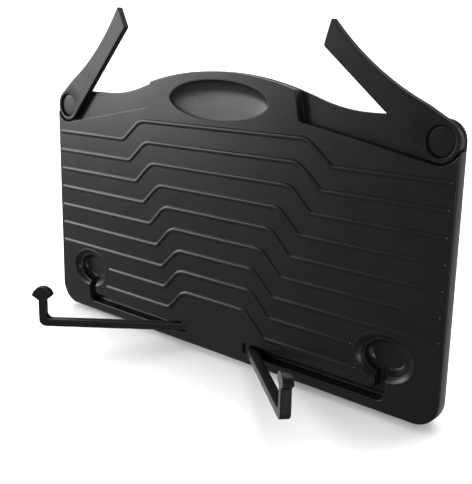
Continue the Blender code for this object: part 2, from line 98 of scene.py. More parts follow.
COVER_FRONT = 7.5
COVER_BACK = 14.5
POCKET_HALF = 31.5
POCKET_FLOOR = 9.1
POCKET_TOP = 138.2
SCREWS = ((134, 52), (134, 118), (48, 24), (48, 118))
HINGE = (11.9, 132.0)
HINGE_PLATE_X = 49.0
LEG_FRONT = 9.4
LEG_BACK = 14.3
LEG_HALF = 30.4
LEG_FOOT_HALF = 25.0
LEG_END = 122.0
LEG_REACH = 131.0
GROUND = -3.4
RECESS_HEAD = (52.6, 173.0)
RECESS_FOOT = (59.0, 142.3)
PLATE_INNER_X = 32.0
PLATE_Z = (127.5, 136.5)
PLATE_FRONT = 13.55
PLATE_BACK = 14.35
HINGE_SCREW_X = 45.2
PAD_X = 105.0
PAD_HALF = 15.0
PAD_FRONT = 9.3
PAD_BACK = 13.7
SHAFT_END = 7.95
PILOT_R = 1.1

# The finger scoop is drawn a little smaller and shallower than the CAD's,
# and the raised lines turn on wider inner corners and tighter outer ones.
GRIP_Z = 149.7
GRIP_A = 37.8
GRIP_B = 11.4
GRIP_DEPTH = 5.6
LINE_INNER_R = 12.0
LINE_OUTER_R = 5.0

# The faceted edges of a mesh are shaded as one surface up to this angle.
SMOOTH_LIMIT = math.radians(38.0)

JOINTS = {joint["name"]: joint for joint in frame["joints"]}
TILT = Matrix.Rotation(-LEAN, 4, "X")
pivot_world = Vector(JOINTS["ear_right_swing"]["pos_m"])
PANEL = Matrix.Translation(pivot_world - TILT @ Vector((PIVOT[0] * MM, 0, PIVOT[1] * MM))) @ TILT


# ---------------------------------------------------------------- outlines
def arc(cx, cz, r, a0, a1, count):
    """Points along an arc, from a0 to a1 degrees."""
    turns = np.radians(np.linspace(a0, a1, count + 1))
    return [(cx + r * math.cos(a), cz + r * math.sin(a)) for a in turns]


def rounded(points, radii, closed=True, count=6):
    """The same line with an arc of the radius given for each corner."""
    out = []
    total = len(points)
    for i, (point, radius) in enumerate(zip(points, radii)):
        if radius <= 0 or (not closed and i in (0, total - 1)):
            out.append(tuple(point))
            continue
        here = Vector(point)
        back = (Vector(points[i - 1]) - here).normalized()
        ahead = (Vector(points[(i + 1) % total]) - here).normalized()
        half = back.angle(ahead) / 2
        reach = radius / math.tan(half)
        centre = here + (back + ahead).normalized() * (radius / math.sin(half))
        start = here + back * reach - centre
        stop = here + ahead * reach - centre
        a0 = math.atan2(start.y, start.x)
        sweep = (math.atan2(stop.y, stop.x) - a0 + math.pi) % (2 * math.pi) - math.pi
        out += arc(centre.x, centre.y, radius, math.degrees(a0), math.degrees(a0 + sweep), count)
    return out


SWEEP_X = math.sqrt((ARCH_R + SWEEP_R) ** 2 - (SIDE_TOP + SWEEP_R - ARCH_PEAK + ARCH_R) ** 2)
MEET = math.degrees(math.asin(SWEEP_X / (ARCH_R + SWEEP_R)))


def panel_outline(inset=0.0):
    """The panel's outline, counter-clockwise from the middle of its bottom edge.

    The points part way along straight stretches only keep the triangles beside them even.
    """
    half = [(0.0, inset), (60.0, inset)]
    half += arc(HALF_W - FOOT_R, FOOT_R, FOOT_R - inset, -90, 0, 14)
    half += [(HALF_W - inset, 60.0), (HALF_W - inset, 100.0)]
    half += arc(HALF_W - CORNER_R, SIDE_TOP - CORNER_R, CORNER_R - inset, 0, 90, 16)
    half += arc(SWEEP_X, SIDE_TOP + SWEEP_R, SWEEP_R + inset, -90, -90 - MEET, 12)
    half += arc(0, ARCH_PEAK - ARCH_R, ARCH_R - inset, 90 - MEET, 90, 16)[1:]
    return half + [(-x, z) for x, z in reversed(half[1:-1])]


def tangent(point, r):
    """The angle at which a line from point leaves the circle of radius r about the ear's pivot."""
    dx = PIVOT[0] - point[0]
    dz = PIVOT[1] - point[1]
    return math.degrees(math.atan2(dz, dx) - math.asin(r / math.hypot(dx, dz))) - 90


def recess_line():
    """Right ear recess: its end wall, lower wall and the seat round the pivot, as an open line."""
    leave = -math.degrees(math.acos(CORNER_R / SEAT_R))
    seat = arc(PIVOT[0], PIVOT[1], SEAT_R, tangent(RECESS_FOOT, SEAT_R), leave, 22)
    line = [RECESS_HEAD, RECESS_FOOT, *seat, (seat[-1][0] + 8.0, seat[-1][1])]
    return rounded(line[:3], [0, 1.6, 0], closed=False)[:-1] + line[2:]


def ear_outline():
    """Right ear's outline, stowed."""
    end = arc(PIVOT[0], PIVOT[1], EAR_R, tangent(EAR_TIP_LOW, EAR_R), 94, 44)
    reach = math.degrees(math.asin((EAR_SAG[0] - EAR_TIP_TOP_X) / EAR_SAG_R))
    sag = arc(EAR_SAG[0], EAR_SAG[1] + EAR_SAG_R, EAR_SAG_R, -84.7, -90 - reach, 24)
    tip = sag.pop()
    corner = rounded([tip, EAR_TIP_LOW, end[0]], [0, 1.6, 0], closed=False)[1:-1]
    top = rounded([sag[-1], tip, EAR_TIP_LOW], [0, 1.0, 0], closed=False)[1:-1]
    return [*end, *sag, *top, *corner]


def arm_outline():
    """Right arm's outline in the frame of its pin: x along its long leg, z up."""
    sagitta = ARM_HEAD_TOP - ARM_NECK - ARM_FLARE
    dome_r = (ARM_HEAD_HALF**2 + sagitta**2) / (2 * sagitta)
    edge = math.degrees(math.asin(ARM_HEAD_HALF / dome_r))
    dome = arc(ARM_REACH, ARM_HEAD_TOP - dome_r, dome_r, 90 - edge, 90 + edge, 24)
    right = ARM_REACH + ARM_HALF
    left = ARM_REACH - ARM_HALF
    eye = -ARM_THICK_HALF
    outer = rounded([(eye, -ARM_HALF), (right, -ARM_HALF), (right, ARM_NECK)], [0, 4.5, 0], closed=False)
    inner = rounded([(left, ARM_NECK), (left, ARM_HALF), (eye, ARM_HALF)], [0, 3.5, 0], closed=False)
    return [*outer, *dome, *inner]


def zigzag(index):
    """The middle line of one raised line, counted from the top."""
    low = LINE_TOP - LINE_PITCH * index
    high = low + LINE_PITCH
    end = LINE_START.get(index, LINE_END_X)
    half = [(0, high), (LINE_INNER[index], high), (LINE_OUTER[index], low), (end, low)]
    half = rounded(half, [0, LINE_INNER_R, LINE_OUTER_R, 0], closed=False, count=8)[1:]
    return [(-x, z) for x, z in reversed(half)] + half


def ellipse(cx, cz, a, b, count=72):
    turns = (np.arange(count) + 0.5) * 2 * math.pi / count
    return [(cx + a * math.cos(t), cz + b * math.sin(t)) for t in turns]


def mirror(points):
    """The line on the other side of the panel, still running the same way round."""
    return [(-x, z) for x, z in reversed(points)]


def subdivided(points, step, closed=True):
    """The same line with no stretch longer than step."""
    out = []
    pairs = zip(points, points[1:] + points[:1]) if closed else zip(points, points[1:])
    for a, b in pairs:
        parts = max(1, math.ceil(math.dist(a, b) / step))
        out += [(a[0] + (b[0] - a[0]) * k / parts, a[1] + (b[1] - a[1]) * k / parts) for k in range(parts)]
    if not closed:
        out.append(points[-1])
    return out


def offset(points, distance, closed=True):
    """A parallel line; a positive distance is to the left of the line's direction."""
    p = np.array(points, float)
    if closed:
        before = p - np.roll(p, 1, 0)
        after = np.roll(p, -1, 0) - p
    else:
        after = np.vstack([p[1:] - p[:-1], p[-1:] - p[-2:-1]])
        before = np.vstack([after[:1], after[:-1]])
    before /= np.linalg.norm(before, axis=1)[:, None] + 1e-12
    after /= np.linalg.norm(after, axis=1)[:, None] + 1e-12
    bisector = before + after
    bisector /= np.linalg.norm(bisector, axis=1)[:, None] + 1e-12
    spread = np.clip((bisector * after).sum(1), 0.35, 1)
    normal = np.stack([-bisector[:, 1], bisector[:, 0]], 1)
    return [tuple(v) for v in p + normal * (distance / spread)[:, None]]


def capsule(path, distance):
    """The closed line at one distance from an open path, with round ends."""
    left = offset(path, distance, closed=False)
    right = offset(path, -distance, closed=False)
    ends = []
    for tip, nxt in ((path[-1], path[-2]), (path[0], path[1])):
        heading = math.degrees(math.atan2(tip[1] - nxt[1], tip[0] - nxt[0]))
        ends.append(arc(tip[0], tip[1], distance, heading - 90, heading + 90, 10)[1:-1])
    return right + ends[0] + left[::-1] + ends[1]


# ---------------------------------------------------------------- measuring
def distance_to(points, line, closed):
    """Unsigned distance from each point to a line."""
    a = np.array(line, float)
    b = np.roll(a, -1, 0) if closed else a[1:]
    a = a if closed else a[:-1]
    best = np.full(len(points), 1e9)
    for (ax, az), (bx, bz) in zip(a, b):
        dx, dz = bx - ax, bz - az
        span = dx * dx + dz * dz + 1e-12
        t = np.clip(((points[:, 0] - ax) * dx + (points[:, 1] - az) * dz) / span, 0, 1)
        best = np.minimum(best, np.hypot(points[:, 0] - ax - t * dx, points[:, 1] - az - t * dz))
    return best


def inside(points, loop):
    """Whether each point is inside a closed loop."""
    flag = np.zeros(len(points), bool)
    for (ax, az), (bx, bz) in zip(loop, loop[1:] + loop[:1]):
        crosses = (az > points[:, 1]) != (bz > points[:, 1])
        with np.errstate(divide="ignore", invalid="ignore"):
            at = ax + (points[:, 1] - az) * (bx - ax) / (bz - az)
        flag ^= crosses & (points[:, 0] < at)
    return flag


def depth_in(points, loop):
    """Signed distance into a closed loop: positive inside."""
    return np.where(inside(points, loop), 1, -1) * distance_to(points, loop, True)


# ---------------------------------------------------------------- solids
def triangulate(loops, lines):
    """Triangles inside loops[0] and outside loops[1:], with every loop and line as edges."""
    verts, edges = [], []
    for points, closed in [(loop, True) for loop in loops] + lines:
        first = len(verts)
        verts += [Vector(p) for p in points]
        count = len(points)
        edges += [(first + i, first + (i + 1) % count) for i in range(count if closed else count - 1)]
    found = delaunay_2d_cdt(verts, edges, [], 0, 1e-4)
    flat = np.array([tuple(v) for v in found[0]])
    tris = np.array([f for f in found[2] if len(f) == 3], int)
    middle = flat[tris].mean(1)
    keep = inside(middle, loops[0])
    for hole in loops[1:]:
        keep &= ~inside(middle, hole)
    a, b, c = flat[tris[:, 0]], flat[tris[:, 1]], flat[tris[:, 2]]
    area = (b[:, 0] - a[:, 0]) * (c[:, 1] - a[:, 1]) - (b[:, 1] - a[:, 1]) * (c[:, 0] - a[:, 0])
    tris[area < 0] = tris[area < 0][:, ::-1]
    tris = tris[keep & (np.abs(area) > 1e-9)]
    used = np.unique(tris)
    index = np.full(len(flat), -1)
    index[used] = np.arange(len(used))
    return flat[used], index[tris]


def rims(tris):
    """The boundary of a triangulation, as closed chains of vertices."""
    directed = {}
    for a, b, c in tris.tolist():
        for edge in ((a, b), (b, c), (c, a)):
            directed[edge] = True
    following = {}
    for a, b in directed:
        if (b, a) not in directed:
            following.setdefault(a, []).append(b)
    chains = []
    while following:
        start = next(iter(following))
        chain = [start]
        while True:
            onward = following[chain[-1]]
            step = onward.pop()
            if not onward:
                del following[chain[-1]]
            if step == start:
                break
            chain.append(step)
        chains.append(chain)
    return chains


def relief(name, loops, lines, front, back, place=PANEL):
    """A closed solid whose one face is y = front(points).

    back is a function for the other face, or a list of (inset, y) steps that every rim is carried
    through before a flat face closes it.
    """
    flat, tris = triangulate(loops, lines)
    verts = [np.column_stack([flat[:, 0], front(flat), flat[:, 1]])]
    faces = tris.tolist()
    chains = rims(tris)
    total = len(flat)
    if callable(back):
        verts.append(np.column_stack([flat[:, 0], back(flat), flat[:, 1]]))
        faces += (tris[:, ::-1] + total).tolist()
        for chain in chains:
            for a, b in zip(chain, chain[1:] + chain[:1]):
                faces.append([b, a, a + total, b + total])
        return solid(name, np.vstack(verts), faces, place)
    caps = []
    for chain in chains:
        edge = [tuple(flat[i]) for i in chain]
        ring = chain
        for inset, level in back:
            moved = offset(edge, inset) if inset > 0 else edge
            verts.append(np.array([(x, level, z) for x, z in moved]))
            fresh = list(range(total, total + len(edge)))
            total += len(edge)
            for k in range(len(edge)):
                n = (k + 1) % len(edge)
                faces.append([ring[n], ring[k], fresh[k], fresh[n]])
            ring = fresh
        caps.append(moved)
    caps.sort(key=lambda loop: -abs(signed_area(loop)))
    cap_flat, cap_tris = triangulate(caps, [])
    cap_level = np.full(len(cap_flat), float(back[-1][1]))
    verts.append(np.column_stack([cap_flat[:, 0], cap_level, cap_flat[:, 1]]))
    faces += (cap_tris[:, ::-1] + total).tolist()
    return solid(name, np.vstack(verts), faces, place)


def signed_area(loop):
    return sum(a[0] * b[1] - b[0] * a[1] for a, b in zip(loop, loop[1:] + loop[:1]))


def round_back(level, radius):
    """Steps for relief: a rounded edge of that radius up to a face at that depth."""
    turns = np.radians((0, 22.5, 45, 67.5, 90))
    return [(radius * (1 - math.cos(t)), level - radius * (1 - math.sin(t))) for t in turns]


def stations(half, middle=0.0):
    """Stations for bar: (x, inset) pairs that round both ends off."""
    ends = ((half, 0.4), (half - 0.15, 0.15), (half - 0.4, 0.0))
    start = [(middle - x, inset) for x, inset in ends]
    return start + [(middle + x, inset) for x, inset in reversed(ends)]


def bar(name, section, stops, place=PANEL):
    """Sweep a convex (y, z) section along x through (x, inset) stops."""
    verts, faces = [], []
    count = len(section)
    for x, inset in stops:
        verts += [(x, y, z) for y, z in (offset(section, inset) if inset > 0 else section)]
    for k in range(len(stops) - 1):
        for i in range(count):
            j = (i + 1) % count
            low, high = k * count, (k + 1) * count
            faces.append([low + i, low + j, high + j, high + i])
    faces.append(list(range(count)))
    faces.append(list(range(len(verts) - count, len(verts))))
    return solid(name, verts, faces, place)


def solid(name, verts, faces, place=PANEL):
    """A closed mesh object from points in millimetres, welded, with normals facing out."""
    mesh = bpy.data.meshes.new(name)
    mesh.from_pydata([tuple(v) for v in (np.asarray(verts) * MM).tolist()], [], faces)
    bm = bmesh.new()
    bm.from_mesh(mesh)
    bmesh.ops.remove_doubles(bm, verts=bm.verts, dist=2e-6)
    bmesh.ops.dissolve_degenerate(bm, dist=1e-6, edges=bm.edges)
    loose = [v for v in bm.verts if not v.link_faces]
    bmesh.ops.delete(bm, geom=loose, context="VERTS")
    bmesh.ops.recalc_face_normals(bm, faces=bm.faces)
    for face in bm.faces:
        face.smooth = True
    for edge in bm.edges:
        if len(edge.link_faces) == 2 and edge.calc_face_angle(0) > SMOOTH_LIMIT:
            edge.smooth = False
    bm.transform(place)
    bm.to_mesh(mesh)
    bm.free()
    obj = bpy.data.objects.new(name, mesh)
    bpy.context.scene.collection.objects.link(obj)
    return obj


def turned(name, profile, place, count=64):
    """Revolve (radius, y) points that start and end on the y axis about it."""
    verts, faces, rows = [], [], []
    for r, y in profile:
        row = []
        for k in range(count if r > 0 else 1):
            a = 2 * math.pi * k / count
            row.append(len(verts))
            verts.append((r * math.cos(a), y, r * math.sin(a)))
        rows.append(row)
    for low, high in zip(rows, rows[1:]):
        for i in range(count):
            j = (i + 1) % count
            corners = [low[i % len(low)], low[j % len(low)], high[j % len(high)], high[i % len(high)]]
            faces.append(list(dict.fromkeys(corners)))
    return solid(name, verts, faces, place)


def edge_drop(depth, radius):
    """How far a rounded edge falls away at a distance in from the outline."""
    reach = np.clip(radius - depth, 0, radius)
    return radius - np.sqrt(radius**2 - reach**2)


def edge_loops(outline, radius, guard=0.35):
    """Lines that carry a rounded edge of that radius, and one more that keeps the face beside it flat."""
    steps = [radius * (1 - math.cos(math.radians(a))) for a in (30, 50, 68, 90)]
    return [(offset(outline, s), True) for s in [*steps, radius + guard]]


# ---------------------------------------------------------------- front shell
# The rounded lip and the top of a pocket's wall: distance in from its edge, and depth there.
WALL = ((-0.9, 0.0), (-0.62, 0.0), (-0.36, 0.05), (-0.16, 0.18), (0.0, 0.42), (0.08, 0.75))


def pocket(depth, toe):
    """Wall profile of a pocket, with a rounded foot of the toe's size."""
    foot = [(0.42, depth - toe), (0.5, depth - 0.62 * toe), (0.5 + 0.3 * toe, depth - 0.25 * toe)]
    foot += [(0.5 + 0.62 * toe, depth - 0.06 * toe), (0.5 + toe, depth), (0.85 + toe, depth)]
    return [*WALL, *foot]


RECESS_WALL = (
    (-0.5, 0.0), (-0.32, 0.0), (-0.16, 0.04), (-0.05, 0.13), (0.0, 0.26), (0.05, 0.5),
    (0.3, RECESS_DEPTH - 0.16), (0.38, RECESS_DEPTH - 0.04), (0.5, RECESS_DEPTH), (0.8, RECESS_DEPTH),
)
CHANNEL_WALL = pocket(CHANNEL_DEPTH, 0.8)
# A dish's depth at each fraction of its size: a bevel, a step down to a ledge, a wall and a sloping floor.
DISH_STEPS = (
    (0.985, 0.0), (0.975, 0.04), (0.96, 0.15), (0.865, 1.02), (0.85, 1.18),
    (0.84, 1.42), (0.83, 1.68), (0.815, 1.84), (0.79, 1.9), (0.72, 1.93),
    (0.71, 2.1), (0.695, 2.9), (0.68, 3.7), (0.66, 4.55), (0.645, 4.92),
    (0.55, 6.08), (0.535, 6.23), (0.52, 6.3), (0.42, 6.3),
)
# A raised line's height at each distance from its middle. The last steps keep the panel beside it flat.
LINE_PROFILE = (
    (0.0, 0.66), (0.35, 0.635), (0.7, 0.535), (1.0, 0.385), (1.3, 0.17), (1.5, 0.02), (1.54, 0.0),
    (1.62, 0.0), (2.0, 0.0),
)
# The bead round each dish: its height at each fraction of the dish's size.
BEAD = (
    (0.97, 0.0), (0.99, 0.08), (1.01, 0.14), (1.03, 0.12), (1.055, 0.04), (1.075, 0.0), (1.1, 0.0),
)
EDGE_R = 0.9


def step_depth(distance, profile):
    """The second value of a profile's pairs, at each distance."""
    s, d = zip(*profile)
    return np.interp(distance, s, d)


def channel_loop():
    """Right arm's channel: along the bottom edge, then up into the dish."""
    low = ARM_PIVOT[2] - CHANNEL_HALF
    top = ARM_PIVOT[2] + CHANNEL_HALF
    near = ARM_PIVOT[0] + ARM_REACH - CHANNEL_HALF - 0.2
    far = ARM_PIVOT[0] + ARM_REACH + CHANNEL_HALF + 0.2
    loop = [(23.8, low), (far, low), (far, 27), (near, 27), (near, top), (23.8, top)]
    return rounded(loop, [1.0, 4.6, 0, 0, 2.7, 1.0])


def grip_depth(points):
    """A scoop, deepest near its top edge and running out softly at the bottom."""
    across = points[:, 0] / GRIP_A
    up = (points[:, 1] - GRIP_Z) / GRIP_B
    rho = np.hypot(across, up)
    bowl = GRIP_DEPTH * np.clip(1 - rho**2, 0, 1) ** 0.62 * (0.60 + 0.40 * np.clip(up, -1, 1))
    return bowl + step_depth(rho, GRIP_LIP) * (0.5 + 0.5 * up)


# The scoop's rounded lip, and the rings that carry its shape: fractions of its size.
GRIP_LIP = ((0.97, 0.0), (1.0, 0.10), (1.02, 0.03), (1.045, 0.0))
GRIP_RINGS = (
    1.07, 1.045, 1.02, 1.0, 0.992, 0.98, 0.965, 0.945, 0.92,
    0.88, 0.83, 0.77, 0.7, 0.6, 0.48, 0.34, 0.18,
)
ABOVE_PANEL = 175.0
CHANNELS = [mirror(channel_loop()), channel_loop()]
RECESSES = [mirror(recess_line()), recess_line()]
RECESS_LOOPS = [line + [(line[-1][0], ABOVE_PANEL), (line[0][0], ABOVE_PANEL)] for line in RECESSES]
ZIGZAGS = [zigzag(i) for i in range(len(LINE_OUTER))]


def from_dish(points, sign):
    """Each point's distance from a dish's middle, as a fraction of the dish's size."""
    return np.hypot((points[:, 0] - sign * DISH[0]) / DISH_A, (points[:, 1] - DISH[1]) / DISH_B)


def shell_front(points):
    """The front face: what is cut into it, or the raised lines and beads where nothing is."""
    cut = np.zeros(len(points))
    for loop in CHANNELS:
        cut = np.maximum(cut, step_depth(depth_in(points, loop), CHANNEL_WALL))
    for sign, line, loop in zip((-1, 1), RECESSES, RECESS_LOOPS):
        away = distance_to(points, line, False) * np.where(inside(points, loop), 1, -1)
        cut = np.maximum(cut, step_depth(away, RECESS_WALL))
        cut = np.maximum(cut, step_depth(from_dish(points, sign), DISH_STEPS[::-1]))
    cut = np.maximum(cut, grip_depth(points))
    rise = np.zeros(len(points))
    for sign in (-1, 1):
        rise += step_depth(from_dish(points, sign), BEAD)
    for path in ZIGZAGS:
        rise += step_depth(distance_to(points, path, False), LINE_PROFILE)
    rim = edge_drop(np.abs(depth_in(points, OUTLINE)), EDGE_R)
    return np.where(cut > 1e-6, cut, -rise) + rim


OUTLINE = subdivided(panel_outline(), 12.0)


def shell_lines():
    """Every line on the front face that its mesh has edges along."""
    lines = [(panel_outline(s), True) for s in (0.12, 0.32, 0.56, EDGE_R, EDGE_R + 0.4)]
    for path in ZIGZAGS:
        lines.append((path, False))
        lines += [(capsule(path, s), True) for s, _ in LINE_PROFILE[1:]]
    for loop in CHANNELS:
        lines += [(offset(loop, s), True) for s, _ in CHANNEL_WALL]
    for line in RECESSES:
        lines += [(offset(line, s, closed=False), False) for s, _ in RECESS_WALL]
    for sign in (-1, 1):
        for rho in sorted({rho for rho, _ in DISH_STEPS + BEAD}):
            lines.append((ellipse(sign * DISH[0], DISH[1], DISH_A * rho, DISH_B * rho), True))
    lines += [(ellipse(0, GRIP_Z, GRIP_A * rho, GRIP_B * rho, 96), True) for rho in GRIP_RINGS]
    return lines


PIECES = []


def piece(obj, node, slot, body):
    """Stand obj in for a CAD node."""
    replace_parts(obj, node)
    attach(obj, body)
    PIECES.append((obj, slot))


shell = relief("front_shell_visual", [OUTLINE], shell_lines(), shell_front, round_back(SHELL_DEPTH, 1.1))
piece(shell, "front_shell", "shell_plastic", "panel")


# ---------------------------------------------------------------- rear cover
COVER_LOOP = subdivided(panel_outline(COVER_INSET), 12.0)
COVER_EDGE_R = 1.2
BORE_R = 2.9
BELOW_PANEL = -10.0
POCKET_LOOP = [(-POCKET_HALF, BELOW_PANEL), (POCKET_HALF, BELOW_PANEL)]
POCKET_LOOP += [(POCKET_HALF, POCKET_TOP), (-POCKET_HALF, POCKET_TOP)]
# Walls of the kickstand's pocket, the plates' seats and the screws' bores: distance in, and depth there.
DEEP_WALL = ((-0.4, 0.0), (-0.22, 0.05), (-0.08, 0.18), (0.0, 0.4), (0.1, 5.1), (0.2, 5.33), (0.4, 5.4))
SEAT_WALL = ((-0.2, 0.0), (-0.05, 0.06), (0.0, 0.2), (0.05, 1.1))
BORE_WALL = ((-0.35, 0.0), (-0.1, 0.08), (0.0, 0.3), (0.06, 3.6))
SEAT_HALF = 4.8
SEATS = []
for sign in (-1, 1):
    seat_a, seat_b = sorted((sign * (POCKET_HALF - 1), sign * (HINGE_PLATE_X + 0.3)))
    low, high = HINGE[1] - SEAT_HALF, HINGE[1] + SEAT_HALF
    SEATS.append([(seat_a, low), (seat_b, low), (seat_b, high), (seat_a, high)])
BORES = [(sign * x, z) for x, z in SCREWS for sign in (-1, 1)]


def cover_face(points):
    """The cover's rear face, with the pocket, the plates' seats and the screws' bores in it."""
    cut = step_depth(depth_in(points, POCKET_LOOP), DEEP_WALL)
    for loop in SEATS:
        cut = np.maximum(cut, step_depth(depth_in(points, loop), SEAT_WALL))
    for x, z in BORES:
        inner = BORE_R - np.hypot(points[:, 0] - x, points[:, 1] - z)
        cut = np.maximum(cut, step_depth(inner, BORE_WALL))
    return COVER_BACK - cut - edge_drop(np.abs(depth_in(points, COVER_LOOP)), COVER_EDGE_R)


cover_lines = edge_loops(COVER_LOOP, COVER_EDGE_R)
cover_lines += [(offset(POCKET_LOOP, s), True) for s, _ in DEEP_WALL]
cover_lines += [(offset(loop, s), True) for loop in SEATS for s, _ in SEAT_WALL]
cover_lines += [(ellipse(x, z, BORE_R - s, BORE_R - s, 28), True) for x, z in BORES for s, _ in BORE_WALL]
cover = relief("rear_cover_visual", [COVER_LOOP], cover_lines, cover_face, [(0, COVER_FRONT)])
piece(cover, "rear_cover", "cover_plastic", "panel")


# ---------------------------------------------------------------- screws, plates and pads
def screw(name, x, z, radius, shaft, levels):
    """A pan-head screw facing back, with a cross recess.

    levels are the y of the head's underside, rim and top, then the shaft's end and its chamfered tip.
    """
    under, rim, top, end, tip = levels
    arm = 0.56 * radius
    half = 0.14 * radius
    cross = [(half, half), (half, arm), (-half, arm), (-half, half), (-arm, half), (-arm, -half)]
    cross += [(-u, -w) for u, w in cross]
    cross = [(x + u, z + w) for u, w in cross]
    if signed_area(cross) < 0:
        cross.reverse()
    wall = ((0.0, 0.0), (0.06, 0.1), (0.12, 0.32 * radius))

    def face(points):
        r = np.hypot(points[:, 0] - x, points[:, 1] - z)
        fall = (top - rim) * np.array((0.0, 0.08, 0.22, 0.5, 1.0))
        dome = np.interp(r, radius * np.array((0, 0.5, 0.75, 0.9, 1.0)), fall)
        return top - dome - step_depth(depth_in(points, cross), wall)

    rings = [(ellipse(x, z, radius * k, radius * k, 28), True) for k in (0.6, 0.75, 0.84, 0.9, 0.96)]
    lines = rings + [(cross, True)] + [(offset(cross, s), True) for s, _ in wall[1:]]
    gap = radius - shaft
    back = [(0, under), (gap, under), (gap, end), (gap + 0.45 * shaft, tip)]
    return relief(name, [ellipse(x, z, radius, radius, 28)], lines, face, back)


COVER_SCREW = {"radius": 2.6, "shaft": 1.3, "levels": (11.1, 12.2, 12.8, 4.6, 3.6)}
HINGE_SCREW = {"radius": 2.0, "shaft": 0.9, "levels": (14.45, 15.0, 15.4, 10.4, 9.7)}
PLATE_HOLE_R = 1.1
PLATE_EDGE = 0.25

for number, (x, z) in enumerate(BORES, 1):
    head = screw(f"cover_screw_{number}_visual", x, z, **COVER_SCREW)
    piece(head, f"cover_screw_{number}", "steel", "panel")

lean_sin, lean_cos = math.sin(LEAN), math.cos(LEAN)
for side, sign in (("left", -1), ("right", 1)):
    head = screw(f"hinge_screw_{side}_visual", sign * HINGE_SCREW_X, HINGE[1], **HINGE_SCREW)
    piece(head, f"hinge_screw_{side}", "steel", "panel")

    x0, x1 = sorted((sign * PLATE_INNER_X, sign * HINGE_PLATE_X))
    z0, z1 = PLATE_Z
    rim = rounded([(x0, z0), (x1, z0), (x1, z1), (x0, z1)], [0.8] * 4, count=4)
    hole = ellipse(sign * HINGE_SCREW_X, HINGE[1], PLATE_HOLE_R, PLATE_HOLE_R, 24)
    plate = relief(
        f"hinge_plate_{side}_visual",
        [rim, hole],
        edge_loops(rim, PLATE_EDGE, 0.1),
        lambda points, rim=rim: PLATE_BACK - edge_drop(np.abs(depth_in(points, rim)), PLATE_EDGE),
        [(0, PLATE_FRONT)],
    )
    piece(plate, f"hinge_plate_{side}", "steel", "panel")

    sole = [(y, (GROUND + y * lean_sin) / lean_cos) for y in (PAD_FRONT, PAD_BACK)]
    top = COVER_INSET - 0.1
    section = rounded([*sole, (PAD_BACK, top), (PAD_FRONT, top)], [0.4] * 4, count=3)
    pad = bar(f"foot_pad_{side}_visual", section, stations(PAD_HALF, sign * PAD_X))
    piece(pad, f"foot_pad_{side}", "rubber", "panel")


# ---------------------------------------------------------------- ears
EAR_EDGE = 0.5
# The bore for the cap: distance in from its edge, and depth there.
BORE_PROFILE = ((-0.45, 0.0), (-0.2, 0.05), (-0.05, 0.18), (0.0, 0.35), (0.03, 2.35), (0.15, 2.5))


def cap_profile():
    """An ear cap's half section: a faintly dished face, a rounded rim and a bored shaft."""
    under = BORE_FLOOR - 0.15
    face = [(0, CAP_FRONT - 0.06), (3.0, CAP_FRONT - 0.05), (5.6, CAP_FRONT)]
    face += [(CAP_R - 0.45, CAP_FRONT + 0.04)]
    rim = [(CAP_R - 0.2, CAP_FRONT + 0.12), (CAP_R - 0.05, CAP_FRONT + 0.3), (CAP_R, CAP_FRONT + 0.55)]
    shaft = [(CAP_R, under), (SHAFT_R, under), (SHAFT_R, SHAFT_END), (PILOT_R, SHAFT_END)]
    return face + rim + shaft + [(PILOT_R, 4.6), (0, 4.3)]


for side, sign in (("left", -1), ("right", 1)):
    swing = Matrix.Rotation(math.radians(EAR_OPEN[sign]) * sign, 4, "Y")
    place = PANEL @ Matrix.Translation(Vector((sign * PIVOT[0], 0, PIVOT[1])) * MM) @ swing
    rim = [(x - PIVOT[0], z - PIVOT[1]) for x, z in ear_outline()]
    rim = subdivided(mirror(rim) if sign < 0 else rim, 6.0)

    def ear_face(points, rim=rim):
        inner = CAP_BORE_R - np.hypot(points[:, 0], points[:, 1])
        drop = edge_drop(np.abs(depth_in(points, rim)), EAR_EDGE)
        return EAR_FRONT + step_depth(inner, BORE_PROFILE) + drop

    lines = edge_loops(rim, EAR_EDGE)
    lines += [(ellipse(0, 0, CAP_BORE_R - s, CAP_BORE_R - s, 64), True) for s, _ in BORE_PROFILE]
    hole = ellipse(0, 0, SHAFT_R + 0.1, SHAFT_R + 0.1, 32)
    ear = relief(f"ear_{side}_visual", [rim, hole], lines, ear_face, round_back(EAR_BACK, 0.4), place)
    piece(ear, f"ear_{side}", "moulding_plastic", f"{side}_ear")

    cap = turned(f"ear_cap_{side}_visual", cap_profile(), place)
    piece(cap, f"ear_cap_{side}", "moulding_plastic", f"{side}_ear")


# ---------------------------------------------------------------- retainer arms
ARM_EDGE = 0.55
for side, sign in (("left", -1), ("right", 1)):
    swing = Matrix.Rotation(math.radians(ARM_OPEN[sign]) * -sign, 4, "Z")
    spot = Vector((sign * ARM_PIVOT[0], ARM_PIVOT[1], ARM_PIVOT[2])) * MM
    place = PANEL @ Matrix.Translation(spot) @ swing
    rim = subdivided(mirror(arm_outline()) if sign < 0 else arm_outline(), 4.0)

    def thickness(points, rim=rim, sign=sign):
        """Half the arm's thickness: round about the pin at the near end, with rounded edges."""
        beyond = np.clip(-sign * points[:, 0], 0, ARM_THICK_HALF)
        near = np.abs(depth_in(points, rim))
        eye = np.sqrt(ARM_THICK_HALF**2 - beyond**2)
        drop = np.where(sign * points[:, 0] < 1.0, 0.0, edge_drop(near, ARM_EDGE))
        return eye - drop

    lines = edge_loops(rim, ARM_EDGE, 0.25)
    for x in (-2.74, -2.55, -2.2, -1.7, -1.1, 0.0, 1.0, 1.4):
        lines.append(([(sign * x, -ARM_HALF + 0.01), (sign * x, ARM_HALF - 0.01)], False))
    arm = relief(f"arm_{side}_visual", [rim], lines, lambda p, t=thickness: -t(p), thickness, place)
    piece(arm, f"arm_{side}", "moulding_plastic", f"{side}_arm")


